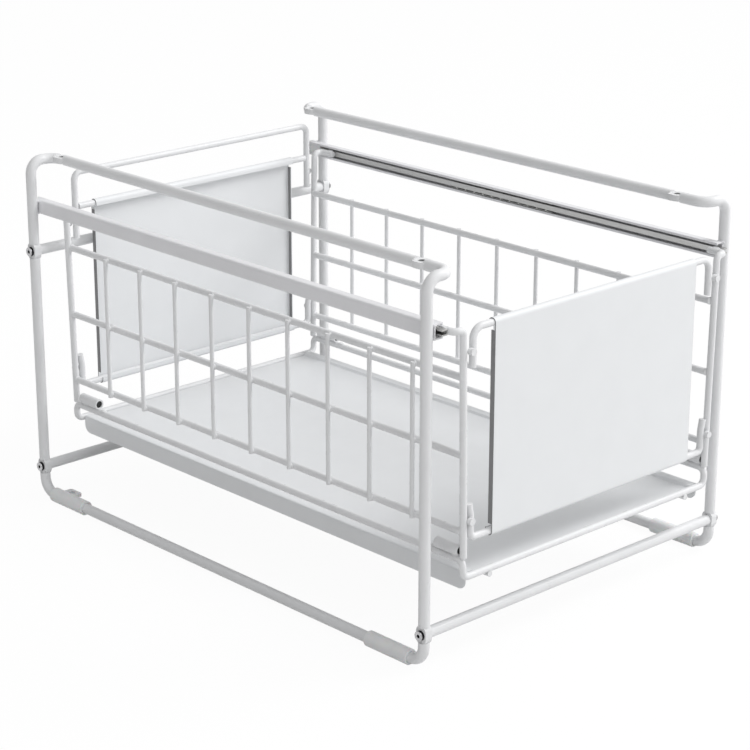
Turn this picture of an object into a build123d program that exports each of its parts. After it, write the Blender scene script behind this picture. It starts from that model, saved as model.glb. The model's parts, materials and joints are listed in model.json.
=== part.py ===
from build123d import *
import os

# Under sink organizer: a wire stand with one sliding basket.
# All lengths are millimetres. X runs across, Y from the front to the back, Z up from the floor.
# A side of -1 is the left and 1 the right. An end of -1 is the front and 1 the back.

# Side frames, each one closed loop of round wire
frame_wire_diameter = 8.0
frame_width = 298.0
frame_depth = 430.0
frame_height = 267.6
top_rail_inset = 21.6
bottom_bend_radius = 12.0
top_bend_radius = 10.0

# Flattened eyes on the top rails
rail_eye_length = 14.0
rail_eye_width = 11.5
rail_eye_thickness = 4.4
rail_press_length = 9.0
eye_hole_diameter = 5.2
front_eye_setback = 27.0
rear_eye_setback = 11.0

# Flattened spots on the posts, where the crossbars meet them
post_spot_height = 13.6
post_spot_width = 9.2
post_spot_thickness = 6.0
post_press_height = 11.0

# Crossbars and their screws
crossbar_diameter = 8.0
lower_crossbar_rise = 21.3
upper_crossbar_drop = 34.1
screw_thread_diameter = 4.0
screw_length = 18.0
screw_head_diameter = 7.0
screw_head_height = 2.4
screw_socket_across_flats = 2.5
screw_socket_depth = 1.4
screw_hole_spare_depth = 3.0

# Feet, split sleeves round the bottom rails, and the rear ones' tabs
foot_sole = 1.2
foot_setback = 12.4
foot_length = 41.0
foot_wall = 1.7
foot_edge_radius = 0.5
foot_slit_width = 0.8
foot_slit_inset = 1.6
foot_tab_root = 3.2
foot_tab_reach = 21.0
foot_tab_width = 15.0
foot_tab_overhang = 7.6
foot_tab_thickness = 2.4
foot_tab_corner = 2.5
foot_hole_inset = 16.8
foot_hole_diameter = 4.4

# Outer slides, C sections open towards the basket
slide_drop = 36.0
slide_depth = 7.4
slide_height = 10.8
slide_sheet = 1.0
slide_lip = 1.7
slide_corner_radius = 2.0
slide_front_overhang = 3.0
slide_rear_overhang = 5.0
bumper_length = 13.0
bumper_cap = 2.0

# Inner slides, and the balls and cages between the two
inner_slide_height = 4.0
inner_slide_width = 5.0
inner_slide_sheet = 0.9
inner_slide_setback = 0.5
inner_slide_lead = 8.0
inner_slide_rear_setback = 10.0
ball_count = 11
ball_spacing = 9.6
cage_length = 110.0
cage_strip = 0.4
cage_ledge = 3.2
cage_rest_lead = 158.0

# Basket, whose end wires are set forward from the lines of the posts
basket_lead = 11.6
basket_rear_setback = 13.2
basket_wire_diameter = 5.0
wire_bend_radius = 3.9
hanger_leg_length = 14.0
hanger_inset_top = 21.5
hanger_inset_bottom = 24.4

# Base loop and the wires welded under it
base_side_inset = 24.0
base_side_rise = 70.9
base_end_drop = 12.6
base_bend_radius = 5.0
floor_wire_diameter = 4.2
floor_wire_drop = 2.9
floor_wire_inset = 47.4
floor_wire_overrun = 2.8

# Side rails and upright side bars, the lead being the left wall's from the front
low_rail_lift = 20.3
high_rail_drop = 33.4
side_bar_diameter = 3.2
side_bar_count = 9
side_bar_lead = 44.5
side_bar_tail = 50.3
side_bar_overlap = 1.6

# Sleeves resting on the base loop
sleeve_diameter = 8.0
sleeve_bore = 5.6
sleeve_length = 21.5
sleeve_rear_setback = 5.8
stopper_recess = 0.7
stopper_edge_radius = 0.3

# Sheet tray
tray_sheet = 0.8
tray_side_gap = 2.5
tray_rim = 6.8
tray_step = 1.6
tray_recess = 1.8
tray_skirt = 12.8
tray_corner_radius = 6.0
tray_bend_radius = 0.8
tray_rear_gap = 0.5

# End panels and their wires
panel_side_inset = 17.6
panel_sheet = 0.7
panel_flange = 4.0
panel_tail = 2.0
panel_low_lift = 14.8
front_panel_drop = 0.4
rear_panel_drop = 2.2
panel_leg_gap = 1.0
panel_leg_drop = 27.0
panel_top_bend_radius = 8.0
low_leg_turn_lift = 31.0
low_leg_end_lift = 39.5
low_leg_bend_radius = 9.0
guard_rail_lift = 24.8
guard_bend_radius = 6.5

# Pegs that tie the panel wires to the hangers
peg_diameter = 5.0
peg_length = 3.2
upper_peg_drop = 14.8
lower_peg_lift = 28.2

# Clearances
weld_gap = 0.05
running_gap = 0.05
cut_overrun = 1.0

# Places worked out from the sizes above
frame_wire_radius = frame_wire_diameter / 2
basket_wire_radius = basket_wire_diameter / 2
post_x = frame_width / 2
post_y = frame_depth / 2
rail_x = post_x - top_rail_inset
rail_z = foot_sole + frame_wire_radius
top_z = rail_z + frame_height
slide_z = top_z - slide_drop

slide_back_x = post_x - frame_wire_radius - weld_gap
slide_mouth_x = slide_back_x - slide_depth
inner_face_x = slide_mouth_x + inner_slide_setback
inner_back_x = inner_face_x + inner_slide_width
hanger_leg_x = inner_face_x - weld_gap - basket_wire_radius

peg_seat = basket_wire_radius - running_gap
basket_front_reach = post_y + basket_lead
basket_rear_reach = post_y - basket_rear_setback
front_reach = max(basket_front_reach + peg_seat + peg_length, post_y + frame_wire_radius)
slide_rear_reach = post_y + slide_rear_overhang
rear_reach = max(slide_rear_reach + bumper_cap, basket_rear_reach + peg_seat + peg_length)

# Moves the whole part so that its bounding box is centred on Y = 0
mid_y = (front_reach - rear_reach) / 2
basket_front_y = mid_y - basket_front_reach
basket_rear_y = mid_y + basket_rear_reach
front_post_y = mid_y - post_y
rear_post_y = mid_y + post_y

# Heights that the basket's pieces share
base_side_z = rail_z + base_side_rise
base_end_z = base_side_z - base_end_drop
low_rail_z = base_side_z + low_rail_lift
high_rail_z = slide_z - high_rail_drop
hanger_foot_z = base_side_z + basket_wire_radius
panel_low_z = base_side_z + panel_low_lift
front_panel_z = slide_z - front_panel_drop
rear_panel_z = slide_z - rear_panel_drop
base_side_x = post_x - base_side_inset
panel_leg_x = post_x - hanger_inset_bottom - basket_wire_diameter - panel_leg_gap


def end_y(end):
    """The Y of the basket's end wires."""
    return basket_front_y if end < 0 else basket_rear_y


def block(low, high):
    """A box between two opposite corners."""
    low = Vector(low)
    high = Vector(high)
    size = high - low
    return Pos(*((low + high) / 2)) * Box(abs(size.X), abs(size.Y), abs(size.Z))


def rod(start, end, diameter):
    """A straight round rod."""
    start = Vector(start)
    run = Vector(end) - start
    return extrude(Plane(origin=start, z_dir=run) * Circle(diameter / 2), amount=run.length)


def bent_wire(points, radii, diameter, closed=False):
    """A round wire of straight runs joined by arcs."""
    path = FilletPolyline(*points, radius=radii, close=closed)
    section = Plane(origin=path @ 0, z_dir=path % 0) * Circle(diameter / 2)
    return sweep(section, path=path)


def along_y(side, x, y, z):
    """A plane across the Y axis, whose own X points away from the middle."""
    return Plane(origin=(side * x, y, z), x_dir=(side, 0, 0), z_dir=(0, 1, 0))


def press_rail_eye(loop, side, hole_y):
    """Flattens one spot of a top rail and drills it."""
    spot = Pos(side * rail_x, hole_y, top_z)
    envelope = spot * Box(rail_eye_width, rail_press_length, frame_wire_diameter + cut_overrun)
    outline = SlotOverall(rail_eye_length, rail_eye_width, rotation=90)
    eye = spot * extrude(outline, amount=rail_eye_thickness / 2, both=True)
    hole = spot * Cylinder(eye_hole_diameter / 2, frame_wire_diameter + cut_overrun)
    return loop - envelope + eye - hole


def press_post_spot(loop, side, post_centre_y, bar_z):
    """Flattens one spot of a post, where a screw passes through into a crossbar."""
    spot = Pos(side * post_x, post_centre_y, bar_z) * Rot(0, 90, 0)
    envelope = spot * Box(post_press_height, post_spot_width, frame_wire_diameter + cut_overrun)
    outline = SlotOverall(post_spot_height, post_spot_width)
    flat = spot * extrude(outline, amount=post_spot_thickness / 2, both=True)
    hole_radius = screw_thread_diameter / 2 + running_gap
    hole = spot * Cylinder(hole_radius, frame_wire_diameter + cut_overrun)
    return loop - envelope + flat - hole


def crossbar_places():
    """The name, Y and Z of each crossbar."""
    return (
        ("front_lower_crossbar", front_post_y, rail_z + lower_crossbar_rise),
        ("rear_lower_crossbar", rear_post_y, rail_z + lower_crossbar_rise),
        ("rear_upper_crossbar", rear_post_y, slide_z - upper_crossbar_drop),
    )


def eye_places():
    """The Y of the holes in the top rails."""
    return (front_post_y + front_eye_setback, rear_post_y - rear_eye_setback)


def side_frame(side):
    """A bottom rail, two posts and a top rail set inboard, bent from one wire."""
    points = (
        (side * post_x, front_post_y, rail_z),
        (side * post_x, rear_post_y, rail_z),
        (side * post_x, rear_post_y, top_z),
        (side * rail_x, rear_post_y, top_z),
        (side * rail_x, front_post_y, top_z),
        (side * post_x, front_post_y, top_z),
    )
    radii = [bottom_bend_radius] * 2 + [top_bend_radius] * 4
    loop = bent_wire(points, radii, frame_wire_diameter, closed=True)
    for hole_y in eye_places():
        loop = press_rail_eye(loop, side, hole_y)
    for name, bar_y, bar_z in crossbar_places():
        loop = press_post_spot(loop, side, bar_y, bar_z)
    return loop


def crossbar(bar_y, bar_z):
    """A rod between the posts' flattened spots, bored at both ends for screws."""
    reach = post_x - post_spot_thickness / 2 - weld_gap
    bar = rod((-reach, bar_y, bar_z), (reach, bar_y, bar_z), crossbar_diameter)
    bore_depth = screw_length - post_spot_thickness + screw_hole_spare_depth
    bore_diameter = screw_thread_diameter + running_gap * 2
    for side in (-1, 1):
        bottom = (side * (reach - bore_depth), bar_y, bar_z)
        mouth = (side * (reach + cut_overrun), bar_y, bar_z)
        bar -= rod(bottom, mouth, bore_diameter)
    return bar


def crossbar_screw(side, bar_y, bar_z):
    """A socket head screw that enters from outside the post."""
    seat = post_x + post_spot_thickness / 2 + weld_gap
    plane = Plane(origin=(side * seat, bar_y, bar_z), z_dir=(side, 0, 0))
    head = extrude(plane * Circle(screw_head_diameter / 2), amount=screw_head_height)
    shank = extrude(plane * Circle(screw_thread_diameter / 2), amount=-screw_length)
    socket_plane = plane.offset(screw_head_height - screw_socket_depth)
    hexagon = RegularPolygon(screw_socket_across_flats / 2, 6, major_radius=False)
    socket = extrude(socket_plane * hexagon, amount=screw_socket_depth + cut_overrun)
    return head + shank - socket


def foot(side, end):
    """A sleeve round the bottom rail, flat below and split along its sole."""
    post_centre_y = front_post_y if end < 0 else rear_post_y
    near_y = post_centre_y - end * foot_setback
    far_y = near_y - end * foot_length
    outer_radius = frame_wire_radius + foot_wall
    sleeve = rod((side * post_x, near_y, rail_z), (side * post_x, far_y, rail_z), outer_radius * 2)
    sleeve = fillet(sleeve.edges().filter_by(GeomType.CIRCLE), foot_edge_radius)
    sleeve -= block(
        (side * (post_x - outer_radius), near_y + end * cut_overrun, -cut_overrun),
        (side * (post_x + outer_radius), far_y - end * cut_overrun, 0),
    )
    if end > 0:
        sleeve += foot_tab(side, near_y)
    channel = rod(
        (side * post_x, near_y + end * cut_overrun, rail_z),
        (side * post_x, far_y - end * cut_overrun, rail_z),
        frame_wire_diameter + weld_gap * 2,
    )
    slit_x = post_x - foot_slit_inset
    slit = block(
        (side * (slit_x - foot_slit_width / 2), near_y + end * cut_overrun, -cut_overrun),
        (side * (slit_x + foot_slit_width / 2), far_y - end * cut_overrun, rail_z),
    )
    return sleeve - channel - slit


def foot_tab(side, near_y):
    """A drilled plate on the floor, inboard of a rear foot."""
    outer_x = post_x - foot_tab_root
    inner_x = post_x - foot_tab_reach
    rear_y = near_y + foot_tab_overhang
    plate = block(
        (side * inner_x, rear_y, 0),
        (side * outer_x, rear_y - foot_tab_width, foot_tab_thickness),
    )
    uprights = plate.edges().filter_by(Axis.Z).group_by(Axis.X)
    plate = fillet(uprights[0] if side > 0 else uprights[-1], foot_tab_corner)
    place = Pos(side * (post_x - foot_hole_inset), rear_y - foot_tab_width / 2, foot_tab_thickness / 2)
    return plate - place * Cylinder(foot_hole_diameter / 2, foot_tab_thickness + cut_overrun)


def slide_section(plane, depth, height, sheet, corner_radius, lip):
    """A C section with a rounded back and lips at its mouth. The plane's own X points at the back."""
    outline = Pos(depth / 2, 0) * Rectangle(depth, height)
    outline = fillet(outline.vertices().group_by(Axis.X)[-1], corner_radius)
    hollow_depth = depth - sheet * 2 if lip else depth - sheet
    hollow_start = sheet if lip else 0
    hollow = Pos(hollow_start + hollow_depth / 2, 0) * Rectangle(hollow_depth, height - sheet * 2)
    section = outline - hollow
    if lip:
        section -= Pos(sheet / 2, 0) * Rectangle(sheet, height - lip * 2)
    return plane * section


def outer_slide(side):
    """The slide's fixed channel, welded to the inboard faces of both posts."""
    front_y = front_post_y - slide_front_overhang
    plane = along_y(side, slide_mouth_x, front_y, slide_z)
    section = slide_section(
        plane, slide_depth, slide_height, slide_sheet, slide_corner_radius, slide_lip
    )
    return extrude(section, amount=frame_depth + slide_front_overhang + slide_rear_overhang)


def slide_bumper(side):
    """A plug in the channel's rear end with a cap of the channel's own outline."""
    end_face_y = mid_y + slide_rear_reach
    plug = block(
        (side * (slide_mouth_x + slide_sheet + running_gap), end_face_y, slide_z + plug_half_height()),
        (side * (slide_back_x - slide_sheet - running_gap), end_face_y - bumper_length,
         slide_z - plug_half_height()),
    )
    plane = along_y(side, slide_mouth_x, end_face_y + weld_gap, slide_z)
    outline = Pos(slide_depth / 2, 0) * Rectangle(slide_depth, slide_height)
    outline = fillet(outline.vertices().group_by(Axis.X)[-1], slide_corner_radius)
    cap = extrude(plane * outline, amount=bumper_cap - weld_gap)
    neck = block(
        (side * (slide_mouth_x + slide_sheet + running_gap), end_face_y - cut_overrun,
         slide_z + plug_half_height()),
        (side * (slide_back_x - slide_sheet - running_gap), end_face_y + cut_overrun,
         slide_z - plug_half_height()),
    )
    return plug + neck + cap


def plug_half_height():
    """Half the height that is free inside the outer slide."""
    return slide_height / 2 - slide_sheet - running_gap


def inner_slide_front_y():
    """The Y of the inner slides' front ends at rest."""
    return front_post_y - inner_slide_lead


def inner_slide(side):
    """The moving member, a small C section whose back faces the basket."""
    plane = Plane(
        origin=(side * inner_back_x, inner_slide_front_y(), slide_z),
        x_dir=(-side, 0, 0),
        z_dir=(0, 1, 0),
    )
    corner_radius = inner_slide_sheet / 2
    section = slide_section(
        plane, inner_slide_width, inner_slide_height, inner_slide_sheet, corner_radius, 0
    )
    return extrude(section, amount=inner_slide_lead + frame_depth - inner_slide_rear_setback)


def ball_gap():
    """The height between the inner and outer slides' flanges."""
    return slide_height / 2 - slide_sheet - inner_slide_height / 2


def ball_x():
    """The X of the balls, midway across the inner slide's flanges."""
    return inner_face_x + inner_slide_width / 2


def ball_places(side):
    """The centres of one slide's balls, in an upper and a lower row."""
    first_y = cage_front_y() + (cage_length - ball_spacing * (ball_count - 1)) / 2
    rise = inner_slide_height / 2 + ball_gap() / 2
    return [
        (side * ball_x(), first_y + ball_spacing * number, slide_z + row * rise)
        for row in (-1, 1)
        for number in range(ball_count)
    ]


def ball_radius():
    """The balls fill the gap between the flanges but for a running clearance."""
    return ball_gap() / 2 - running_gap


def cage_front_y():
    """The Y of the cages' front ends at rest."""
    return front_post_y + cage_rest_lead


def slide_balls(side):
    """Every ball of one slide."""
    return Compound(children=[Pos(*place) * Sphere(ball_radius()) for place in ball_places(side)])


def ball_cage(side):
    """A folded strip round the inner slide, with a hole for each ball."""
    back_x = (inner_back_x + slide_back_x - slide_sheet) / 2 + cage_strip / 2
    ledge_z = inner_slide_height / 2 + ball_gap() / 2
    back_y = cage_front_y() + cage_length
    cage = block(
        (side * (back_x - cage_strip), cage_front_y(), slide_z - ledge_z),
        (side * back_x, back_y, slide_z + ledge_z),
    )
    for row in (-1, 1):
        cage += block(
            (side * (ball_x() - cage_ledge / 2), cage_front_y(), slide_z + row * (ledge_z - cage_strip / 2)),
            (side * back_x, back_y, slide_z + row * (ledge_z + cage_strip / 2)),
        )
    hole_radius = ball_radius() + running_gap
    for place in ball_places(side):
        cage -= Pos(*place) * Cylinder(hole_radius, cage_strip * 2)
    return cage


def hanger_x(z):
    """The X of a hanger's upright, which leans inboard towards its foot."""
    drop_share = (slide_z - z) / (slide_z - hanger_foot_z)
    return post_x - hanger_inset_top - (hanger_inset_bottom - hanger_inset_top) * drop_share


def hanger(side, end):
    """A wire from the inner slide, round two bends and down to the base loop."""
    y = end_y(end)
    points = (
        (side * hanger_leg_x, y - end * hanger_leg_length, slide_z),
        (side * hanger_leg_x, y, slide_z),
        (side * hanger_x(slide_z), y, slide_z),
        (side * hanger_x(hanger_foot_z), y, hanger_foot_z),
    )
    return bent_wire(points, [wire_bend_radius] * 2, basket_wire_diameter)


def base_loop():
    """The closed wire under the basket's walls, stepped down across both ends."""
    points = (
        (-base_side_x, basket_rear_y, base_side_z),
        (-base_side_x, basket_front_y, base_side_z),
        (-base_side_x, basket_front_y, base_end_z),
        (base_side_x, basket_front_y, base_end_z),
        (base_side_x, basket_front_y, base_side_z),
        (base_side_x, basket_rear_y, base_side_z),
        (base_side_x, basket_rear_y, base_end_z),
        (-base_side_x, basket_rear_y, base_end_z),
    )
    return bent_wire(points, [base_bend_radius] * len(points), basket_wire_diameter, closed=True)


def floor_wires():
    """Two lengthwise wires that carry the tray, pressed into the base loop's ends."""
    x = post_x - floor_wire_inset
    z = base_end_z - floor_wire_drop
    front_y = basket_front_y - floor_wire_overrun
    rear_y = basket_rear_y + floor_wire_overrun
    seat_diameter = basket_wire_diameter + weld_gap * 2
    wires = []
    for side in (-1, 1):
        wire = rod((side * x, front_y, z), (side * x, rear_y, z), floor_wire_diameter)
        for end in (-1, 1):
            seat_start = (-base_side_x, end_y(end), base_end_z)
            seat_finish = (base_side_x, end_y(end), base_end_z)
            wire -= rod(seat_start, seat_finish, seat_diameter)
        wires.append(wire)
    return Compound(children=wires)


def side_rails(side):
    """The lengthwise wires of one side wall, butted against the two hangers."""
    inset = basket_wire_radius + weld_gap
    return Compound(children=[
        rod(
            (side * base_side_x, basket_front_y + inset, z),
            (side * base_side_x, basket_rear_y - inset, z),
            basket_wire_diameter,
        )
        for z in (low_rail_z, (low_rail_z + high_rail_z) / 2, high_rail_z)
    ])


def side_bars(side):
    """The thin upright wires outside the side rails. The right wall is the left one turned round."""
    x = base_side_x + basket_wire_radius + weld_gap + side_bar_diameter / 2
    start_y = basket_front_y + side_bar_lead if side < 0 else basket_rear_y - side_bar_lead
    finish_y = basket_rear_y - side_bar_tail if side < 0 else basket_front_y + side_bar_tail
    step = (finish_y - start_y) / (side_bar_count - 1)
    return Compound(children=[
        rod(
            (side * x, start_y + step * number, low_rail_z - side_bar_overlap),
            (side * x, start_y + step * number, high_rail_z + side_bar_overlap),
            side_bar_diameter,
        )
        for number in range(side_bar_count)
    ])


def sleeve_runs():
    """The two ends of each corner sleeve's axis."""
    z = base_side_z + basket_wire_radius + weld_gap + sleeve_diameter / 2
    runs = []
    for side in (-1, 1):
        for end in (-1, 1):
            setback = basket_wire_radius + (weld_gap if end < 0 else sleeve_rear_setback)
            near = Vector(side * base_side_x, end_y(end) - end * setback, z)
            far = Vector(side * base_side_x, end_y(end) - end * (setback + sleeve_length), z)
            runs.append((near, far))
    return runs


def corner_sleeves():
    """Short tubes laid on the base loop beside the hangers."""
    return Compound(children=[
        rod(near, far, sleeve_diameter) - rod(near, far, sleeve_bore)
        for near, far in sleeve_runs()
    ])


def sleeve_stoppers():
    """A rubber stopper in each corner sleeve, set back a little from both mouths."""
    stoppers = []
    for near, far in sleeve_runs():
        recess = (far - near).normalized() * stopper_recess
        stopper = rod(near + recess, far - recess, sleeve_bore - weld_gap * 2)
        stoppers.append(fillet(stopper.edges().filter_by(GeomType.CIRCLE), stopper_edge_radius))
    return Compound(children=stoppers)


def tray():
    """A sheet with a recessed floor, flat rims at the sides and skirts turned down."""
    half_width = base_side_x - basket_wire_radius - tray_side_gap - tray_sheet / 2
    floor_z = base_end_z - floor_wire_drop + floor_wire_diameter / 2 + weld_gap + tray_sheet / 2
    rim_z = floor_z + tray_recess
    skirt_z = rim_z - tray_skirt
    step_x = half_width - tray_rim
    right = [
        (step_x - tray_step, floor_z),
        (step_x, rim_z),
        (half_width, rim_z),
        (half_width, skirt_z),
    ]
    left = [(-x, z) for x, z in reversed(right)]
    front_y = basket_front_y + basket_wire_radius + weld_gap
    rear_y = basket_rear_y - basket_wire_radius - tray_rear_gap
    plane = Plane(origin=(0, front_y, 0), x_dir=(-1, 0, 0), z_dir=(0, 1, 0))
    line = FilletPolyline(*(left + right), radius=tray_bend_radius)
    sheet = extrude(plane * trace(line, line_width=tray_sheet), amount=rear_y - front_y)
    envelope = block(
        (-base_side_x, front_y, skirt_z),
        (base_side_x, rear_y, rim_z + tray_sheet),
    )
    lower_edges = envelope.edges().filter_by(Axis.X).group_by(Axis.Z)[0]
    return sheet & fillet(lower_edges, tray_corner_radius)


def end_panel(end, high_z):
    """A sheet whose hems roll round two crosswise wires, with side flanges turned inward."""
    low_z = panel_low_z
    half_width = panel_leg_x - panel_side_inset
    hem_bore = basket_wire_radius + weld_gap
    hem_radius = hem_bore + panel_sheet
    plane = Plane(origin=(-half_width, end_y(end), 0), x_dir=(0, end, 0), z_dir=(1, 0, 0))
    half_height = (high_z - low_z) / 2
    face_u = hem_bore + panel_sheet / 2
    rows = ((low_z, -1), (high_z, 1))
    up = plane.y_dir.Z
    middle = up * (low_z + high_z) / 2
    section = Pos(face_u, middle) * Rectangle(panel_sheet, half_height * 2)
    for wire_z, turn in rows:
        ring = Circle(hem_radius) - Circle(hem_bore)
        keep = Pos(0, up * turn * hem_radius) * Rectangle(hem_radius * 4, hem_radius * 2)
        section += Pos(0, up * wire_z) * (ring & keep)
        section += Pos(-face_u, up * (wire_z - turn * panel_tail / 2)) * Rectangle(panel_sheet, panel_tail)
    panel = extrude(plane * section, amount=half_width * 2)
    flange_clear = hem_radius + panel_tail
    for side in (-1, 1):
        panel += block(
            (side * half_width, end_y(end) + end * hem_radius, low_z + flange_clear),
            (side * (half_width - panel_sheet), end_y(end) + end * (hem_radius - panel_flange),
             high_z - flange_clear),
        )
    return panel


def upright_loop(end, high_z, bend_radius):
    """A wire bent like an upside-down U, with its legs beside the hangers."""
    y = end_y(end)
    leg_z = slide_z - panel_leg_drop
    points = (
        (-panel_leg_x, y, leg_z),
        (-panel_leg_x, y, high_z),
        (panel_leg_x, y, high_z),
        (panel_leg_x, y, leg_z),
    )
    return bent_wire(points, [bend_radius] * 2, basket_wire_diameter)


def panel_bottom_wire(end):
    """A wire bent like a U, whose tips lean out to the hangers."""
    y = end_y(end)
    tip_z = base_side_z + low_leg_end_lift
    tip_x = hanger_x(tip_z) - basket_wire_diameter - weld_gap
    points = [
        (panel_leg_x, y, panel_low_z),
        (panel_leg_x, y, base_side_z + low_leg_turn_lift),
        (tip_x, y, tip_z),
    ]
    mirrored = [(-px, py, pz) for px, py, pz in reversed(points)]
    radii = [low_leg_bend_radius, wire_bend_radius, wire_bend_radius, low_leg_bend_radius]
    return bent_wire(mirrored + points, radii, basket_wire_diameter)


def rear_panel_top_wire():
    """A straight rod between the guard rail's legs."""
    reach = panel_leg_x - basket_wire_radius - weld_gap
    start = (-reach, basket_rear_y, rear_panel_z)
    finish = (reach, basket_rear_y, rear_panel_z)
    return rod(start, finish, basket_wire_diameter)


def panel_pegs():
    """Short stubs in the outer groove between each panel leg and its hanger."""
    pegs = []
    for z in (slide_z - upper_peg_drop, base_side_z + lower_peg_lift):
        half_space = (hanger_x(z) - panel_leg_x) / 2
        nearest = max(half_space - peg_diameter / 2, 0)
        seat = (basket_wire_radius ** 2 - nearest ** 2) ** (1 / 2) + weld_gap
        for end in (-1, 1):
            for side in (-1, 1):
                x = side * (panel_leg_x + half_space)
                start = (x, end_y(end) + end * seat, z)
                finish = (x, end_y(end) + end * (peg_seat + peg_length), z)
                pegs.append(rod(start, finish, peg_diameter))
    return Compound(children=pegs)


def crossbar_screws():
    """Two screws for each crossbar."""
    return Compound(children=[
        crossbar_screw(side, bar_y, bar_z)
        for name, bar_y, bar_z in crossbar_places()
        for side in (-1, 1)
    ])


def all_nodes():
    """Every sub-part by name."""
    nodes = {name: crossbar(bar_y, bar_z) for name, bar_y, bar_z in crossbar_places()}
    nodes["crossbar_screws"] = crossbar_screws()
    for side, side_name in ((-1, "left"), (1, "right")):
        nodes[side_name + "_side_frame"] = side_frame(side)
        nodes[side_name + "_outer_slide"] = outer_slide(side)
        nodes[side_name + "_slide_bumper"] = slide_bumper(side)
        nodes[side_name + "_inner_slide"] = inner_slide(side)
        nodes[side_name + "_ball_cage"] = ball_cage(side)
        nodes[side_name + "_balls"] = slide_balls(side)
        nodes[side_name + "_side_rails"] = side_rails(side)
        nodes[side_name + "_side_bars"] = side_bars(side)
        for end, end_name in ((-1, "front"), (1, "rear")):
            nodes[end_name + "_" + side_name + "_foot"] = foot(side, end)
            nodes[end_name + "_" + side_name + "_hanger"] = hanger(side, end)
    nodes["base_loop"] = base_loop()
    nodes["floor_wires"] = floor_wires()
    nodes["corner_sleeves"] = corner_sleeves()
    nodes["sleeve_stoppers"] = sleeve_stoppers()
    nodes["tray"] = tray()
    nodes["front_panel"] = end_panel(-1, front_panel_z)
    nodes["rear_panel"] = end_panel(1, rear_panel_z)
    nodes["front_panel_top_wire"] = upright_loop(-1, front_panel_z, panel_top_bend_radius)
    nodes["rear_guard_rail"] = upright_loop(1, slide_z + guard_rail_lift, guard_bend_radius)
    nodes["front_panel_bottom_wire"] = panel_bottom_wire(-1)
    nodes["rear_panel_bottom_wire"] = panel_bottom_wire(1)
    nodes["rear_panel_top_wire"] = rear_panel_top_wire()
    nodes["panel_pegs"] = panel_pegs()
    return nodes


os.makedirs("parts", exist_ok=True)
for node_name, shape in all_nodes().items():
    export_step(shape, "parts/" + node_name + ".step")
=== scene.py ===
import bpy
import json
import math
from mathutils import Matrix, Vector


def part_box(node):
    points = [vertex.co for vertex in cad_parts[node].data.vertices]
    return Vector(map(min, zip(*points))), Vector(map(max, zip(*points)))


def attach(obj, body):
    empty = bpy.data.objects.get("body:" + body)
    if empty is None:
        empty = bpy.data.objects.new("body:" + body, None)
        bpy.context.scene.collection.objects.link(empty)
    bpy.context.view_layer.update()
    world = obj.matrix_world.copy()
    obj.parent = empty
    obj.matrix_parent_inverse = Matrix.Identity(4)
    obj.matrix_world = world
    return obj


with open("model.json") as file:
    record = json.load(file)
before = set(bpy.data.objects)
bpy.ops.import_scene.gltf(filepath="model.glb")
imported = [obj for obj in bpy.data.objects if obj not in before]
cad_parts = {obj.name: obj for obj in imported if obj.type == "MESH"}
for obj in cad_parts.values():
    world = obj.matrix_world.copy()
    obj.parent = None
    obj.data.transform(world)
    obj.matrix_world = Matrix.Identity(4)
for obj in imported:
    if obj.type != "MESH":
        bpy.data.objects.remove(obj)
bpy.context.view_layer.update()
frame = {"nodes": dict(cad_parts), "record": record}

# The photographed view. Azimuth 0 looks along +Y, and lengths are metres.
CAMERA_AZIMUTH = -42.99
CAMERA_ELEVATION = 19.21
CAMERA_DISTANCE = 1.7719
CAMERA_AIM = (0.0, 0.005125, 0.1052)
CAMERA_LENS = 112.04
CAMERA_SENSOR = 36.0
CAMERA_SHIFT = (0.01005, 0.0259)

# Colours are linear
OPAQUE = 1.0
WHITE = (1.0, 1.0, 1.0, OPAQUE)

# Studio
PLAIN_WHITE_STRENGTH = 1.0
FLOOR_SIZE = 12.0
FLOOR_LIT = 0.72
FLOOR_GLOW_SHARE = 0.95
BRIGHT_SIDE = (0.50, -0.72, 0.48)
WORLD_MEAN = 0.47
WORLD_SWING = 0.68

# A box is a low and a high corner, and a corner is its X, Y and Z
LOW = 0
HIGH = 1
X = 0
Y = 1
Z = 2

HANGERS = ("front_left_hanger", "front_right_hanger", "rear_left_hanger", "rear_right_hanger")

# The radii of the basket's wire and the stand's wire
WIRE_RADIUS = 0.0025
POST_RADIUS = 0.004

# Weld nuggets, as half sizes along X, Y and Z
BAR_NUGGET = (0.0014, 0.0022, 0.0024)
RAIL_END_NUGGET = (0.0031, 0.0014, 0.0031)
HANGER_FOOT_NUGGET = (0.0028, 0.0028, 0.0017)
FLOOR_WIRE_NUGGET = (0.0028, 0.0026, 0.0013)
SLIDE_SEAM = (0.0013, 0.0042, 0.0013)
HANGER_TOP_SEAM = (0.0011, 0.0038, 0.0011)
SLEEVE_SEAM = (0.0024, 0.0034, 0.0009)
NUGGET_UNEVENNESS = 0.00014
NUGGET_SEED = 7
NUGGET_ROUNDING = 1
NUGGET_TURN = 0.9
SEAM_RISE = 0.0009
HANGER_SEAM_RISE = 0.0019
HANGER_SEAM_SETBACK = 0.005
HANGER_SEAM_DEPTH = 0.0004
SLEEVE_SEAM_SETBACK = 0.005
SPAN_GAP = 0.004

# A screw is bright down to its edge depth below its face, and from the other depth inwards its flanks and
# recess get painted shade
SCREW_EDGE_DEPTH = 0.0001
SCREW_DARK_DEPTH = 0.0008
SCREW_PAINTED_SHADE = (0.015, 0.015, 0.017, OPAQUE)
SCREW_SCUFFED = (0.34, 0.34, 0.35, OPAQUE)
SCREW_BRIGHT = (0.62, 0.62, 0.63, OPAQUE)

# The two values that a noise seldom passes
NOISE_LOW = 0.3
NOISE_HIGH = 0.7

# The mixers' sockets that can't be told apart by name
SHADER_A = 1
SHADER_B = 2
BLEND_FACTOR = 0
COLOUR_A = 6
COLOUR_B = 7
MIXED_COLOUR = 2

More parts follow.
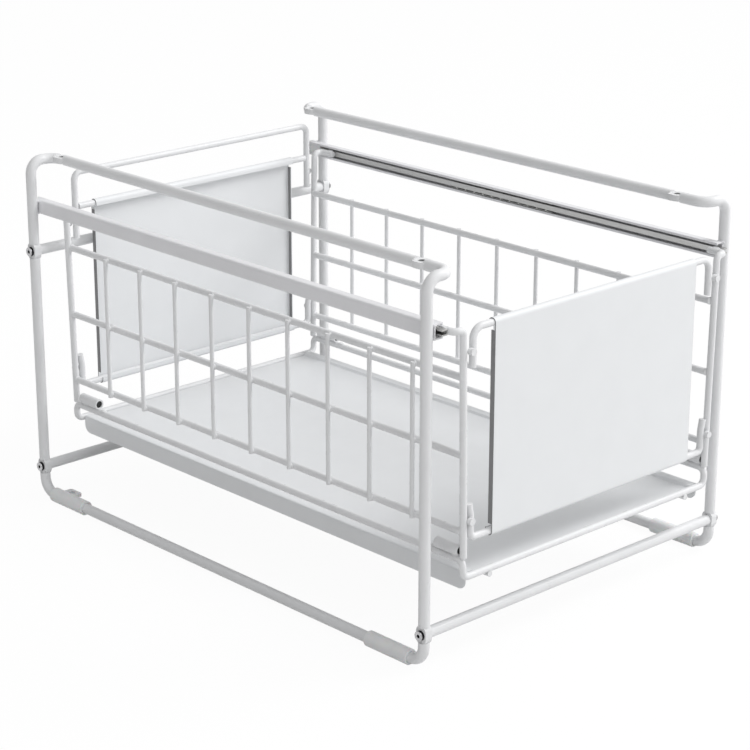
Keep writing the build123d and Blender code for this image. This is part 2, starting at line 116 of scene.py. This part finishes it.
# Finishes. A share is of the finish's own colour.
EDGE_SAMPLES = 4
DUST = (0.70, 0.70, 0.70, OPAQUE)
PAINT_COAT = 0.06
PAINT_COAT_ROUGHNESS = 0.15
PAINT_SHINE = 0.2
PAINT_GLOSS_SWING = 0.06
PAINT_THIN_SHARE = 0.955
SHEET_THIN_SHARE = 0.982
ZINC_STREAK_SHARE = 0.80
ZINC_HAZE_SHARES = (0.93, 0.93, 0.92)
ZINC_GLOSS_SWING = 0.1
GREASE_SHARES = (0.82, 0.79, 0.70)
PLASTIC_MILKINESS = 0.12
PLASTIC_LIGHT_DEPTH = 0.002
FLOW_MARK_SHARES = (0.93, 0.94, 0.95)
RUBBER = (0.010, 0.010, 0.011, OPAQUE)
RUBBER_BLOOM = (0.032, 0.032, 0.031, OPAQUE)

# A darker colour on the panels' sides, which are what faces sideways by more than a share.
PANEL_SIDE_DARK = (0.25, 0.25, 0.255, OPAQUE)
SIDE_FACING = 0.6

# A drilled eye's bore gets painted shade out to one distance from the eye's middle, and keeps the paint
# from the other.
BORE_PAINTED_SHADE = (0.03, 0.03, 0.032, OPAQUE)
MM_IN_M = 1000.0
EYE_THICKNESS = 0.0044
BORE_DARK_REACH = 0.00268
BORE_PAINT_REACH = 0.0033


def view_direction(azimuth, elevation):
    """The way a camera looks, in degrees about Z and down from level."""
    turn = math.radians(azimuth)
    drop = math.radians(elevation)
    return Vector((-math.sin(turn) * math.cos(drop), math.cos(turn) * math.cos(drop), -math.sin(drop)))


def add_camera():
    """The camera at the photograph's viewing angle."""
    data = bpy.data.cameras.new("photo_camera")
    data.lens = CAMERA_LENS
    data.sensor_width = CAMERA_SENSOR
    data.shift_x, data.shift_y = CAMERA_SHIFT
    camera = bpy.data.objects.new("photo_camera", data)
    bpy.context.collection.objects.link(camera)
    direction = view_direction(CAMERA_AZIMUTH, CAMERA_ELEVATION)
    camera.location = Vector(CAMERA_AIM) - direction * CAMERA_DISTANCE
    camera.rotation_euler = direction.to_track_quat("-Z", "Y").to_euler()
    bpy.context.scene.camera = camera


def add_soft_lamp(name, azimuth, elevation, distance, size, power):
    """A soft lamp that looks at the middle of the organizer from one direction."""
    data = bpy.data.lights.new(name, "AREA")
    data.shape = "DISK"
    data.size = size
    data.energy = power
    lamp = bpy.data.objects.new(name, data)
    bpy.context.collection.objects.link(lamp)
    direction = view_direction(azimuth, elevation)
    lamp.location = Vector(CAMERA_AIM) - direction * distance
    lamp.rotation_euler = direction.to_track_quat("-Z", "Y").to_euler()


def feed(links, value, socket):
    """Gives an input its value, which is either another node's output or a plain value."""
    if hasattr(value, "is_linked"):
        links.new(value, socket)
    else:
        socket.default_value = value


def calculate(nodes, links, operation, *values, clamp=False):
    """The result of one sum, whose values are outputs or plain numbers."""
    step = nodes.new("ShaderNodeMath")
    step.operation = operation
    step.use_clamp = clamp
    for place, value in enumerate(values):
        feed(links, value, step.inputs[place])
    return step.outputs[0]


def measure(nodes, links, operation, first, second, outcome):
    """The result of one sum with vectors, whose values are outputs or plain vectors."""
    step = nodes.new("ShaderNodeVectorMath")
    step.operation = operation
    feed(links, first, step.inputs[0])
    feed(links, second, step.inputs[1])
    return step.outputs[outcome]


def split_vector(nodes, links, vector):
    """A vector's parts along X, Y and Z."""
    parts = nodes.new("ShaderNodeSeparateXYZ")
    links.new(vector, parts.inputs["Vector"])
    return parts.outputs


def place_on_object(nodes):
    """Where on the object a point lies."""
    return nodes.new("ShaderNodeTexCoord").outputs["Object"]


def ramp(nodes, links, value, start, end, low, high):
    """A value that runs from low to high while another one runs from start to end."""
    step = nodes.new("ShaderNodeMapRange")
    step.inputs["From Min"].default_value = start
    step.inputs["From Max"].default_value = end
    step.inputs["To Min"].default_value = low
    step.inputs["To Max"].default_value = high
    links.new(value, step.inputs["Value"])
    return step.outputs["Result"]


def seen_directly(nodes, links):
    """One where the camera, a gloss or a clear piece looks at the backdrop, and zero for its light."""
    paths = nodes.new("ShaderNodeLightPath").outputs
    both = calculate(nodes, links, "ADD", paths["Is Camera Ray"], paths["Is Glossy Ray"])
    return calculate(nodes, links, "ADD", both, paths["Is Transmission Ray"], clamp=True)


def add_surround():
    """A surround that is brighter to the front, the right and the top, and plain white to the camera."""
    world = bpy.data.worlds.new("studio")
    bpy.context.scene.world = world
    world.use_nodes = True
    nodes = world.node_tree.nodes
    links = world.node_tree.links
    nodes.clear()
    output = nodes.new("ShaderNodeOutputWorld")
    outward = nodes.new("ShaderNodeTexCoord").outputs["Generated"]
    bright_side = Vector(BRIGHT_SIDE).normalized()
    facing = measure(nodes, links, "DOT_PRODUCT", outward, bright_side, "Value")
    strength = calculate(nodes, links, "MULTIPLY_ADD", facing, WORLD_SWING, WORLD_MEAN)
    mix = nodes.new("ShaderNodeMixShader")
    lit = nodes.new("ShaderNodeBackground")
    seen = nodes.new("ShaderNodeBackground")
    lit.inputs["Color"].default_value = WHITE
    seen.inputs["Color"].default_value = WHITE
    seen.inputs["Strength"].default_value = PLAIN_WHITE_STRENGTH
    links.new(strength, lit.inputs["Strength"])
    links.new(seen_directly(nodes, links), mix.inputs["Fac"])
    links.new(lit.outputs["Background"], mix.inputs[SHADER_A])
    links.new(seen.outputs["Background"], mix.inputs[SHADER_B])
    links.new(mix.outputs["Shader"], output.inputs["Surface"])


def add_floor():
    """A pale floor that keeps a faint shadow."""
    bpy.ops.object.select_all(action="DESELECT")
    bpy.ops.mesh.primitive_plane_add(size=FLOOR_SIZE, location=(0, 0, 0))
    floor = bpy.context.object
    floor.name = "floor"
    material = bpy.data.materials.new("pale_floor")
    material.use_nodes = True
    nodes = material.node_tree.nodes
    links = material.node_tree.links
    nodes.clear()
    output = nodes.new("ShaderNodeOutputMaterial")
    looked_at = seen_directly(nodes, links)
    lit_tone = (FLOOR_LIT, FLOOR_LIT, FLOOR_LIT, OPAQUE)
    diffuse = nodes.new("ShaderNodeBsdfDiffuse")
    glow = nodes.new("ShaderNodeEmission")
    glow.inputs["Color"].default_value = WHITE
    glow.inputs["Strength"].default_value = PLAIN_WHITE_STRENGTH
    mix = nodes.new("ShaderNodeMixShader")
    links.new(blend_colours(nodes, links, looked_at, lit_tone, WHITE), diffuse.inputs["Color"])
    links.new(calculate(nodes, links, "MULTIPLY", looked_at, FLOOR_GLOW_SHARE), mix.inputs["Fac"])
    links.new(diffuse.outputs["BSDF"], mix.inputs[SHADER_A])
    links.new(glow.outputs["Emission"], mix.inputs[SHADER_B])
    links.new(mix.outputs["Shader"], output.inputs["Surface"])
    floor.data.materials.append(material)


def noise(nodes, links, size, detail, stretch=(1.0, 1.0, 1.0)):
    """A noise of one grain size in metres, drawn out along an axis where its stretch is small."""
    mapping = nodes.new("ShaderNodeMapping")
    mapping.inputs["Scale"].default_value = stretch
    texture = nodes.new("ShaderNodeTexNoise")
    texture.inputs["Scale"].default_value = 1.0 / size
    texture.inputs["Detail"].default_value = detail
    links.new(place_on_object(nodes), mapping.inputs["Vector"])
    links.new(mapping.outputs["Vector"], texture.inputs["Vector"])
    return texture.outputs["Fac"]


def spread(nodes, links, factor, low, high):
    """Turns a noise into a value between two limits."""
    return ramp(nodes, links, factor, NOISE_LOW, NOISE_HIGH, low, high)


def blend_colours(nodes, links, factor, first, second):
    """Mixes two colours, each a socket or a written colour."""
    mix = nodes.new("ShaderNodeMix")
    mix.data_type = "RGBA"
    links.new(factor, mix.inputs[BLEND_FACTOR])
    feed(links, first, mix.inputs[COLOUR_A])
    feed(links, second, mix.inputs[COLOUR_B])
    return mix.outputs[MIXED_COLOUR]


def settled_dust(nodes, links, amount):
    """How much dust lies on a place: only on what faces up, and in soft patches."""
    facing = split_vector(nodes, links, nodes.new("ShaderNodeNewGeometry").outputs["Normal"])
    patches = spread(nodes, links, noise(nodes, links, size=0.012, detail=5.0), low=0.0, high=amount)
    return calculate(nodes, links, "MULTIPLY", facing["Z"], patches, clamp=True)


def add_grain(nodes, links, shader, height, depth, strength, edge_radius):
    """Raises a grain on the surface and rounds its edges a little."""
    edge = nodes.new("ShaderNodeBevel")
    edge.samples = EDGE_SAMPLES
    edge.inputs["Radius"].default_value = edge_radius
    bump = nodes.new("ShaderNodeBump")
    bump.inputs["Strength"].default_value = strength
    bump.inputs["Distance"].default_value = depth
    links.new(height, bump.inputs["Height"])
    links.new(edge.outputs["Normal"], bump.inputs["Normal"])
    links.new(bump.outputs["Normal"], shader.inputs["Normal"])


def vary_gloss(nodes, links, shader, patches, low, high):
    """Lets the roughness run between two limits."""
    links.new(spread(nodes, links, patches, low, high), shader.inputs["Roughness"])


def opaque(colour):
    """A colour as the sockets take it."""
    return (*colour, OPAQUE)


def shaded(colour, *shares):
    """A colour made darker, by one share or by a share for each of red, green and blue."""
    every_share = shares if len(shares) == len(colour) else shares * len(colour)
    return opaque([value * share for value, share in zip(colour, every_share)])


def new_finish(name):
    """A new material with its nodes, its links and its main shader."""
    material = bpy.data.materials.new(name)
    material.use_nodes = True
    nodes = material.node_tree.nodes
    return material, nodes, material.node_tree.links, nodes["Principled BSDF"]


def powder_coat(name, colour, roughness, peel_size, peel_depth, dust, thin_share):
    """White powder coat: an orange peel, thinner and greyer in patches, glossier where it flowed."""
    material, nodes, links, shader = new_finish(name)
    shader.inputs["Coat Weight"].default_value = PAINT_COAT
    shader.inputs["Specular IOR Level"].default_value = PAINT_SHINE
    shader.inputs["Coat Roughness"].default_value = PAINT_COAT_ROUGHNESS
    thickness = spread(nodes, links, noise(nodes, links, size=0.028, detail=3.0), low=0.0, high=1.0)
    paint = blend_colours(nodes, links, thickness, shaded(colour, thin_share), opaque(colour))
    dusty = blend_colours(nodes, links, settled_dust(nodes, links, dust), paint, DUST)
    links.new(dusty, shader.inputs["Base Color"])
    flow = noise(nodes, links, size=0.009, detail=4.0)
    vary_gloss(nodes, links, shader, flow, roughness - PAINT_GLOSS_SWING, roughness + PAINT_GLOSS_SWING)
    peel = noise(nodes, links, size=peel_size, detail=2.0)
    add_grain(nodes, links, shader, peel, depth=peel_depth, strength=0.35, edge_radius=0.0003)
    return material


def panel_sides(nodes, links):
    """One on the panels' sides, which are darkened: what faces sideways above the tray."""
    facing = split_vector(nodes, links, nodes.new("ShaderNodeNewGeometry").outputs["Normal"])
    height = split_vector(nodes, links, place_on_object(nodes))["Z"]
    turned = calculate(nodes, links, "ABSOLUTE", facing["X"])
    sideways = calculate(nodes, links, "GREATER_THAN", turned, SIDE_FACING)
    high_up = calculate(nodes, links, "GREATER_THAN", height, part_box("front_panel")[LOW][Z])
    return calculate(nodes, links, "MULTIPLY", sideways, high_up)


def shaded_eye_bores(nodes, links):
    """One deep in the bores of the four drilled eyes, where painted shade goes, and zero from their rims
    outwards.
    """
    eyes = next(mount for mount in frame["record"]["mounts"] if mount["name"] == "top_eyes")
    middle = Vector(eyes["pos_m"]) - Vector((0.0, 0.0, EYE_THICKNESS / 2))
    spacing = Vector((eyes["dims"]["spacing_x_mm"], eyes["dims"]["spacing_y_mm"], 0.0)) / MM_IN_M
    from_middle = measure(nodes, links, "SUBTRACT", place_on_object(nodes), middle, "Vector")
    folded = nodes.new("ShaderNodeVectorMath")
    folded.operation = "ABSOLUTE"
    links.new(from_middle, folded.inputs[0])
    from_eye = measure(nodes, links, "DISTANCE", folded.outputs["Vector"], spacing / 2, "Value")
    return ramp(nodes, links, from_eye, BORE_DARK_REACH, BORE_PAINT_REACH, low=1.0, high=0.0)


def darken_places(material, places, darker_colour):
    """Mixes a darker colour into the paint in some places."""
    nodes = material.node_tree.nodes
    links = material.node_tree.links
    base = nodes["Principled BSDF"].inputs["Base Color"]
    paint = base.links[0].from_socket
    links.new(blend_colours(nodes, links, places(nodes, links), paint, darker_colour), base)


def rolled_zinc(name, colour, roughness, spangle_size, spangle_depth):
    """Zinc-plated strip: streaks from rolling, and a plating that clouds in small patches."""
    material, nodes, links, shader = new_finish(name)
    shader.inputs["Metallic"].default_value = 1.0
    streaks = noise(nodes, links, size=0.0008, detail=4.0, stretch=(1.0, 0.03, 1.0))
    clouds = noise(nodes, links, size=spangle_size, detail=3.0)
    worn = spread(nodes, links, streaks, low=0.0, high=1.0)
    streaked = blend_colours(nodes, links, worn, shaded(colour, ZINC_STREAK_SHARE), opaque(colour))
    haze = spread(nodes, links, clouds, low=0.0, high=0.8)
    clouded = blend_colours(nodes, links, haze, streaked, shaded(colour, *ZINC_HAZE_SHARES))
    links.new(clouded, shader.inputs["Base Color"])
    vary_gloss(nodes, links, shader, clouds, roughness - ZINC_GLOSS_SWING, roughness + ZINC_GLOSS_SWING)
    add_grain(nodes, links, shader, streaks, depth=spangle_depth, strength=0.4, edge_radius=0.0002)
    return material


def polished_balls(name, colour):
    """Hardened balls: bright, with a film of grease that dulls them in spots."""
    material, nodes, links, shader = new_finish(name)
    shader.inputs["Metallic"].default_value = 1.0
    film = noise(nodes, links, size=0.0012, detail=3.0)
    spots = spread(nodes, links, film, low=0.0, high=0.7)
    greased = blend_colours(nodes, links, spots, opaque(colour), shaded(colour, *GREASE_SHARES))
    links.new(greased, shader.inputs["Base Color"])
    vary_gloss(nodes, links, shader, film, low=0.10, high=0.30)
    return material


def moulded_plastic(name, colour, dust):
    """Milky moulded plastic: a fine spark texture and faint flow marks, with a little light in it."""
    material, nodes, links, shader = new_finish(name)
    shader.inputs["Subsurface Weight"].default_value = PLASTIC_MILKINESS
    shader.inputs["Subsurface Scale"].default_value = PLASTIC_LIGHT_DEPTH
    flow = noise(nodes, links, size=0.014, detail=4.0, stretch=(1.0, 1.0, 0.4))
    marks = spread(nodes, links, flow, low=0.0, high=1.0)
    body = blend_colours(nodes, links, marks, shaded(colour, *FLOW_MARK_SHARES), opaque(colour))
    dusty = blend_colours(nodes, links, settled_dust(nodes, links, dust), body, DUST)
    links.new(dusty, shader.inputs["Base Color"])
    vary_gloss(nodes, links, shader, flow, low=0.42, high=0.56)
    spark = noise(nodes, links, size=0.00045, detail=3.0)
    add_grain(nodes, links, shader, spark, depth=0.00003, strength=0.5, edge_radius=0.0004)
    return material


def stopper_rubber(name):
    """Black rubber: matt, with a pale bloom where it has been handled."""
    material, nodes, links, shader = new_finish(name)
    bloom = noise(nodes, links, size=0.005, detail=5.0)
    patches = spread(nodes, links, bloom, low=0.0, high=0.5)
    links.new(blend_colours(nodes, links, patches, RUBBER, RUBBER_BLOOM), shader.inputs["Base Color"])
    vary_gloss(nodes, links, shader, bloom, low=0.52, high=0.70)
    pores = noise(nodes, links, size=0.0004, detail=2.0)
    add_grain(nodes, links, shader, pores, depth=0.00004, strength=0.5, edge_radius=0.0004)
    return material


def screw_plating_and_painted_shade(name):
    """Plated socket screws: scuffed bright faces, with painted shade on the flanks and in the recess."""
    material, nodes, links, shader = new_finish(name)
    shader.inputs["Metallic"].default_value = 1.0
    face_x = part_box("crossbar_screws")[HIGH][X]
    outward = calculate(nodes, links, "ABSOLUTE", split_vector(nodes, links, place_on_object(nodes))["X"])
    dark_x = face_x - SCREW_DARK_DEPTH
    bright_x = face_x - SCREW_EDGE_DEPTH
    near_face = ramp(nodes, links, outward, dark_x, bright_x, low=0.0, high=1.0)
    scuffs = noise(nodes, links, size=0.0009, detail=4.0)
    patches = spread(nodes, links, scuffs, low=0.0, high=1.0)
    face = blend_colours(nodes, links, patches, SCREW_SCUFFED, SCREW_BRIGHT)
    # Painted shade on the flanks and in the recess, from the dark depth inwards
    links.new(blend_colours(nodes, links, near_face, SCREW_PAINTED_SHADE, face), shader.inputs["Base Color"])
    vary_gloss(nodes, links, shader, scuffs, low=0.24, high=0.46)
    add_grain(nodes, links, shader, scuffs, depth=0.00003, strength=0.5, edge_radius=0.0002)
    return material


def dress_nodes(finishes):
    """Gives every CAD node the finish that its slot names."""
    for entry in frame["record"]["subparts"]:
        for slot in frame["nodes"][entry["node"]].material_slots:
            slot.material = finishes[entry["material_slot"]]


def spans(node_name, axis):
    """The separate stretches that a node's solids cover along one axis, each as its middle."""
    values = sorted(vertex.co[axis] for vertex in frame["nodes"][node_name].data.vertices)
    middles = []
    start = values[0]
    last = values[0]
    for value in values:
        if value - last > SPAN_GAP:
            middles.append((start + last) / 2)
            start = value
        last = value
    middles.append((start + last) / 2)
    return middles


def model_nugget(name, half_size):
    """One uneven bead of weld at the origin, smooth where the paint has flowed over it."""
    bpy.ops.object.select_all(action="DESELECT")
    bpy.ops.mesh.primitive_ico_sphere_add(subdivisions=2, radius=1.0, location=(0, 0, 0))
    nugget = bpy.context.object
    nugget.name = name
    bpy.ops.object.mode_set(mode="EDIT")
    bpy.ops.mesh.select_all(action="SELECT")
    bpy.ops.transform.resize(value=half_size, center_override=(0, 0, 0))
    bpy.ops.transform.vertex_random(offset=NUGGET_UNEVENNESS, uniform=1.0, seed=NUGGET_SEED)
    bpy.ops.object.mode_set(mode="OBJECT")
    rounding = nugget.modifiers.new("rounding", "SUBSURF")
    rounding.levels = NUGGET_ROUNDING
    rounding.render_levels = NUGGET_ROUNDING
    bpy.ops.object.modifier_apply(modifier=rounding.name)
    bpy.ops.object.shade_smooth()
    return nugget


def set_nuggets(name, half_size, places, turn_axis):
    """A nugget at each place, copied from the one before and turned a little, so that no two look alike."""
    nugget = model_nugget(name, half_size)
    bpy.ops.object.mode_set(mode="EDIT")
    bpy.ops.mesh.select_all(action="SELECT")
    bpy.ops.transform.translate(value=places[0])
    for before, place in zip(places, places[1:]):
        bpy.ops.mesh.duplicate()
        bpy.ops.transform.translate(value=Vector(place) - Vector(before))
        if turn_axis:
            bpy.ops.transform.rotate(value=NUGGET_TURN, orient_axis=turn_axis, center_override=place)
    bpy.ops.object.mode_set(mode="OBJECT")
    return nugget


def finish_welds(piece, material, body):
    """Paints a group of welds and lets it ride with what it joins."""
    piece.data.materials.clear()
    piece.data.materials.append(material)
    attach(piece, body)


def weld_side_wall(side_name, material):
    """Welds where the bars cross the rails, and where the rails end on the hangers."""
    side = -1 if side_name == "left" else 1
    rails = side_name + "_side_rails"
    rail_low, rail_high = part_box(rails)
    contact_x = side * max(abs(rail_low[X]), abs(rail_high[X]))
    rail_x = contact_x - side * WIRE_RADIUS
    heights = spans(rails, Z)
    crossings = [(contact_x, y, z) for y in spans(side_name + "_side_bars", Y) for z in heights]
    ends = [(rail_x, y, z) for y in (rail_low[Y], rail_high[Y]) for z in heights]
    crossing_welds = set_nuggets(side_name + "_bar_welds", BAR_NUGGET, crossings, None)
    finish_welds(crossing_welds, material, "basket")
    end_welds = set_nuggets(side_name + "_rail_end_welds", RAIL_END_NUGGET, ends, "Y")
    finish_welds(end_welds, material, "basket")


def weld_hangers(material):
    """Welds at both ends of every hanger: on the inner slide, and on the base loop."""
    feet = []
    tops = []
    for name in HANGERS:
        low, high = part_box(name)
        side = -1 if "left" in name else 1
        end = -1 if "front" in name else 1
        inner_x = high[X] if side < 0 else low[X]
        outer_x = low[X] if side < 0 else high[X]
        end_y = low[Y] if end < 0 else high[Y]
        leg_y = high[Y] if end < 0 else low[Y]
        feet.append((inner_x + side * WIRE_RADIUS, end_y - end * WIRE_RADIUS, low[Z]))
        for rise in (-HANGER_SEAM_RISE, HANGER_SEAM_RISE):
            tops.append((
                outer_x - side * HANGER_SEAM_DEPTH,
                leg_y + end * HANGER_SEAM_SETBACK,
                high[Z] - WIRE_RADIUS + rise,
            ))
    foot_welds = set_nuggets("hanger_foot_welds", HANGER_FOOT_NUGGET, feet, "Z")
    finish_welds(foot_welds, material, "basket")
    top_welds = set_nuggets("hanger_top_welds", HANGER_TOP_SEAM, tops, None)
    finish_welds(top_welds, material, "basket")


def weld_base(material):
    """Welds on the base loop: where the floor wires pass under it, and under the corner sleeves."""
    loop_low, loop_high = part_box("base_loop")
    wire_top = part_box("floor_wires")[HIGH][Z]
    crossings = [
        (x, y, wire_top)
        for x in spans("floor_wires", X)
        for y in (loop_low[Y] + WIRE_RADIUS, loop_high[Y] - WIRE_RADIUS)
    ]
    floor_welds = set_nuggets("floor_wire_welds", FLOOR_WIRE_NUGGET, crossings, "Z")
    finish_welds(floor_welds, material, "basket")
    seams = [
        (x, y - math.copysign(SLEEVE_SEAM_SETBACK, y), loop_high[Z])
        for x in spans("corner_sleeves", X)
        for y in spans("corner_sleeves", Y)
    ]
    sleeve_welds = set_nuggets("sleeve_welds", SLEEVE_SEAM, seams, None)
    finish_welds(sleeve_welds, material, "basket")


def weld_slide(side_name, material):
    """The short seams that hold an outer slide to its two posts."""
    side = -1 if side_name == "left" else 1
    low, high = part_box(side_name + "_outer_slide")
    post_low, post_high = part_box(side_name + "_side_frame")
    back_x = low[X] if side < 0 else high[X]
    seams = [
        (back_x, y, z)
        for y in (post_low[Y] + POST_RADIUS, post_high[Y] - POST_RADIUS)
        for z in (low[Z] + SEAM_RISE, high[Z] - SEAM_RISE)
    ]
    seam_welds = set_nuggets(side_name + "_slide_welds", SLIDE_SEAM, seams, None)
    finish_welds(seam_welds, material, "stand")


bpy.context.scene.view_settings.view_transform = "Standard"
add_camera()
add_surround()
add_soft_lamp("key_lamp", azimuth=56.0, elevation=44.0, distance=2.6, size=1.3, power=33.0)
add_soft_lamp("low_fill_lamp", azimuth=-88.0, elevation=6.0, distance=2.6, size=1.6, power=7.5)
add_floor()

stand_paint = powder_coat(
    "stand_paint",
    colour=(0.775, 0.78, 0.79),
    roughness=0.33,
    peel_size=0.0010,
    peel_depth=0.00006,
    dust=0.06,
    thin_share=PAINT_THIN_SHARE,
)
basket_paint = powder_coat(
    "basket_paint",
    colour=(0.77, 0.775, 0.785),
    roughness=0.30,
    peel_size=0.0009,
    peel_depth=0.00005,
    dust=0.05,
    thin_share=PAINT_THIN_SHARE,
)
sheet_paint = powder_coat(
    "sheet_paint",
    colour=(0.78, 0.792, 0.805),
    roughness=0.42,
    peel_size=0.0012,
    peel_depth=0.00006,
    dust=0.06,
    thin_share=SHEET_THIN_SHARE,
)
channel_paint = powder_coat(
    "channel_paint",
    colour=(0.79, 0.79, 0.81),
    roughness=0.38,
    peel_size=0.0010,
    peel_depth=0.00005,
    dust=0.06,
    thin_share=PAINT_THIN_SHARE,
)
slide_zinc = rolled_zinc(
    "slide_zinc",
    colour=(0.52, 0.52, 0.515),
    roughness=0.42,
    spangle_size=0.004,
    spangle_depth=0.00003,
)

# The drilled eyes' bores get painted shade
darken_places(stand_paint, shaded_eye_bores, BORE_PAINTED_SHADE)
# The panels' sides, which face sideways above the tray, are darkened
darken_places(sheet_paint, panel_sides, PANEL_SIDE_DARK)

dress_nodes({
    "painted_wire": stand_paint,
    "basket_wire": basket_paint,
    "painted_sheet": sheet_paint,
    "painted_channel": channel_paint,
    "slide_steel": slide_zinc,
    "ball_steel": polished_balls("ball_polish", colour=(0.74, 0.74, 0.75)),
    "white_plastic": moulded_plastic("foot_plastic", colour=(0.82, 0.825, 0.825), dust=0.1),
    "black_rubber": stopper_rubber("stopper_rubber"),
    "screw_steel": screw_plating_and_painted_shade("screw_plating_and_painted_shade"),
})

for side_name in ("left", "right"):
    weld_side_wall(side_name, basket_paint)
    weld_slide(side_name, channel_paint)
weld_hangers(basket_paint)
weld_base(basket_paint)
